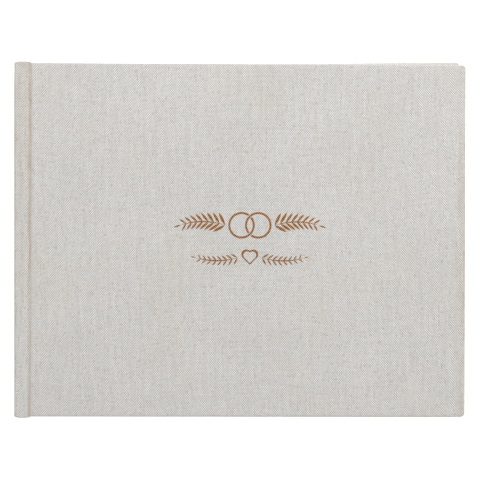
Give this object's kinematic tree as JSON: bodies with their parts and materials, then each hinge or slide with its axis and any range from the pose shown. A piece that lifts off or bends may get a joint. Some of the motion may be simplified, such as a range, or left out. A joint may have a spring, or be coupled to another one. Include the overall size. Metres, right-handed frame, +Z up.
{
  "type": "wedding guest book",
  "caption": "Landscape case-bound guest book with linen cloth covers, a foil ornament, hinged covers and turning leaf sections.",
  "frame": {"origin": "on the resting plane under the closed book, midway between the spine's outer face and the fore edge and between head and tail", "axes": "+X from the spine to the fore edge, +Y to the head, +Z up through the front cover"},
  "size_m": [0.281, 0.2226, 0.02],
  "materials": {
    "book_cloth": "matte",
    "greyboard": "matte",
    "leaf_paper": "matte",
    "endpaper": "matte",
    "kraft_paper": "matte",
    "gauze": "matte",
    "band_silk": "matte",
    "thread": "matte",
    "copper_foil": "satin"
  },
  "bodies": {
    "spine": {"spine_board": "greyboard", "spine_cloth": "book_cloth", "spine_lining": "kraft_paper", "mull": "gauze", "head_band": "band_silk", "tail_band": "band_silk", "section_folds": "leaf_paper", "endpaper_folds": "endpaper", "sewing_threads": "thread"},
    "front_cover": {"front_board": "greyboard", "front_cover_cloth": "book_cloth", "front_mull_wing": "gauze", "front_pastedown": "endpaper", "foil_ornament": "copper_foil"},
    "back_cover": {"back_board": "greyboard", "back_cover_cloth": "book_cloth", "back_mull_wing": "gauze", "back_pastedown": "endpaper"},
    "front_flyleaf": {"front_flyleaf": "endpaper"},
    "leaf_section_01": {"leaf_section_01": "leaf_paper"},
    "leaf_section_02": {"leaf_section_02": "leaf_paper"},
    "leaf_section_03": {"leaf_section_03": "leaf_paper"},
    "leaf_section_04": {"leaf_section_04": "leaf_paper"},
    "leaf_section_05": {"leaf_section_05": "leaf_paper"},
    "leaf_section_06": {"leaf_section_06": "leaf_paper"},
    "leaf_section_07": {"leaf_section_07": "leaf_paper"},
    "leaf_section_08": {"leaf_section_08": "leaf_paper"},
    "leaf_section_09": {"leaf_section_09": "leaf_paper"},
    "leaf_section_10": {"leaf_section_10": "leaf_paper"},
    "back_flyleaf": {"back_flyleaf": "endpaper"}
  },
  "joints": [
    {"name": "front_cover_hinge", "type": "hinge", "parent": "spine", "child": "front_cover", "pos_m": [-0.1316, 0, 0.02005], "axis": [0, -1, 0], "range_deg": [0, 179]},
    {"name": "back_cover_hinge", "type": "hinge", "parent": "spine", "child": "back_cover", "pos_m": [-0.132, 0, -0.00005], "axis": [0, 1, 0], "range_deg": [0, 179]},
    {"name": "front_flyleaf_turn", "type": "hinge", "parent": "spine", "child": "front_flyleaf", "pos_m": [-0.1268, 0, 0.0165], "axis": [0, -1, 0], "range_deg": [0, 98.5]},
    {"name": "leaf_section_01_turn", "type": "hinge", "parent": "spine", "child": "leaf_section_01", "pos_m": [-0.1268, 0, 0.0165], "axis": [0, -1, 0], "range_deg": [0, 90.3]},
    {"name": "leaf_section_02_turn", "type": "hinge", "parent": "spine", "child": "leaf_section_02", "pos_m": [-0.1268, 0, 0.0165], "axis": [0, -1, 0], "range_deg": [0, 82.09]},
    {"name": "leaf_section_03_turn", "type": "hinge", "parent": "spine", "child": "leaf_section_03", "pos_m": [-0.1268, 0, 0.0165], "axis": [0, -1, 0], "range_deg": [0, 73.89]},
    {"name": "leaf_section_04_turn", "type": "hinge", "parent": "spine", "child": "leaf_section_04", "pos_m": [-0.1268, 0, 0.0165], "axis": [0, -1, 0], "range_deg": [0, 65.69]},
    {"name": "leaf_section_05_turn", "type": "hinge", "parent": "spine", "child": "leaf_section_05", "pos_m": [-0.1268, 0, 0.0165], "axis": [0, -1, 0], "range_deg": [0, 57.47]},
    {"name": "leaf_section_06_turn", "type": "hinge", "parent": "spine", "child": "leaf_section_06", "pos_m": [-0.1268, 0, 0.0165], "axis": [0, -1, 0], "range_deg": [0, 49.27]},
    {"name": "leaf_section_07_turn", "type": "hinge", "parent": "spine", "child": "leaf_section_07", "pos_m": [-0.1268, 0, 0.0165], "axis": [0, -1, 0], "range_deg": [0, 41.08]},
    {"name": "leaf_section_08_turn", "type": "hinge", "parent": "spine", "child": "leaf_section_08", "pos_m": [-0.1268, 0, 0.0165], "axis": [0, -1, 0], "range_deg": [0, 32.86]},
    {"name": "leaf_section_09_turn", "type": "hinge", "parent": "spine", "child": "leaf_section_09", "pos_m": [-0.1268, 0, 0.0165], "axis": [0, -1, 0], "range_deg": [0, 24.66]},
    {"name": "leaf_section_10_turn", "type": "hinge", "parent": "spine", "child": "leaf_section_10", "pos_m": [-0.1268, 0, 0.0165], "axis": [0, -1, 0], "range_deg": [0, 16.46]},
    {"name": "back_flyleaf_turn", "type": "hinge", "parent": "spine", "child": "back_flyleaf", "pos_m": [-0.1268, 0, 0.0165], "axis": [0, -1, 0], "range_deg": [0, 8.25]}
  ],
  "couplings": [
    {"joint": "front_flyleaf_turn", "follows": "front_cover_hinge", "ratio": 0.55},
    {"joint": "leaf_section_01_turn", "follows": "front_cover_hinge", "ratio": 0.5042},
    {"joint": "leaf_section_02_turn", "follows": "front_cover_hinge", "ratio": 0.4583},
    {"joint": "leaf_section_03_turn", "follows": "front_cover_hinge", "ratio": 0.4125},
    {"joint": "leaf_section_04_turn", "follows": "front_cover_hinge", "ratio": 0.3667},
    {"joint": "leaf_section_05_turn", "follows": "front_cover_hinge", "ratio": 0.3208},
    {"joint": "leaf_section_06_turn", "follows": "front_cover_hinge", "ratio": 0.275},
    {"joint": "leaf_section_07_turn", "follows": "front_cover_hinge", "ratio": 0.2292},
    {"joint": "leaf_section_08_turn", "follows": "front_cover_hinge", "ratio": 0.1833},
    {"joint": "leaf_section_09_turn", "follows": "front_cover_hinge", "ratio": 0.1375},
    {"joint": "leaf_section_10_turn", "follows": "front_cover_hinge", "ratio": 0.0917},
    {"joint": "back_flyleaf_turn", "follows": "front_cover_hinge", "ratio": 0.0458}
  ]
}
